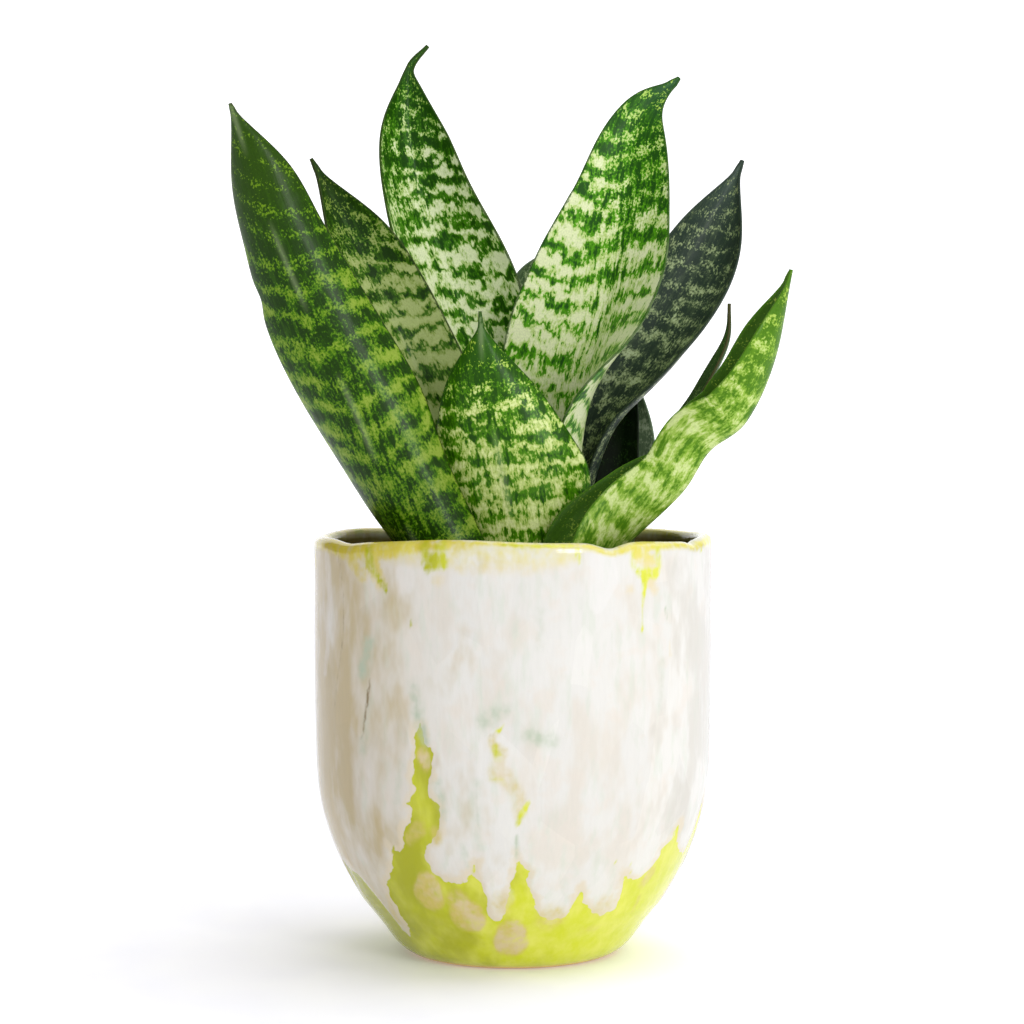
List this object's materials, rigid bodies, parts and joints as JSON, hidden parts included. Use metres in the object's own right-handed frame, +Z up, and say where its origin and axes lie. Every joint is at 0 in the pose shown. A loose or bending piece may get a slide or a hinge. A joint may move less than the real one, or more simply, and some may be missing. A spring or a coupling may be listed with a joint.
{
  "type": "potted birds nest snake plant",
  "caption": "Low rosette of cupped, cross-banded succulent leaves in soil in a glazed stoneware pot with a wavy rim. It stands on a flat base as a decorative houseplant.",
  "frame": {"origin": "centre of the pot's flat base, on the surface that it stands on", "axes": "+Z up, +Y away from the side with the short front leaf, +X to that side's right"},
  "size_m": [0.1896, 0.1546, 0.3251],
  "materials": {
    "pot_glaze": "gloss",
    "potting_soil": "matte",
    "rhizome_skin": "matte",
    "leaf_outer_green": "satin",
    "leaf_banded": "satin",
    "leaf_dark": "satin",
    "leaf_grey": "satin"
  },
  "bodies": {
    "root": {"pot": "pot_glaze", "soil": "potting_soil", "rhizome": "rhizome_skin", "leaf_front_left": "leaf_outer_green", "leaf_back_left": "leaf_outer_green", "leaf_tallest": "leaf_banded", "leaf_front_short": "leaf_outer_green", "leaf_tall_right": "leaf_banded", "leaf_dark_right": "leaf_dark", "leaf_low_right": "leaf_outer_green", "leaf_young_spear": "leaf_dark", "leaf_back_right": "leaf_grey", "leaf_inner_shaded": "leaf_dark", "leaf_back_centre": "leaf_grey"}
  },
  "joints": []
}
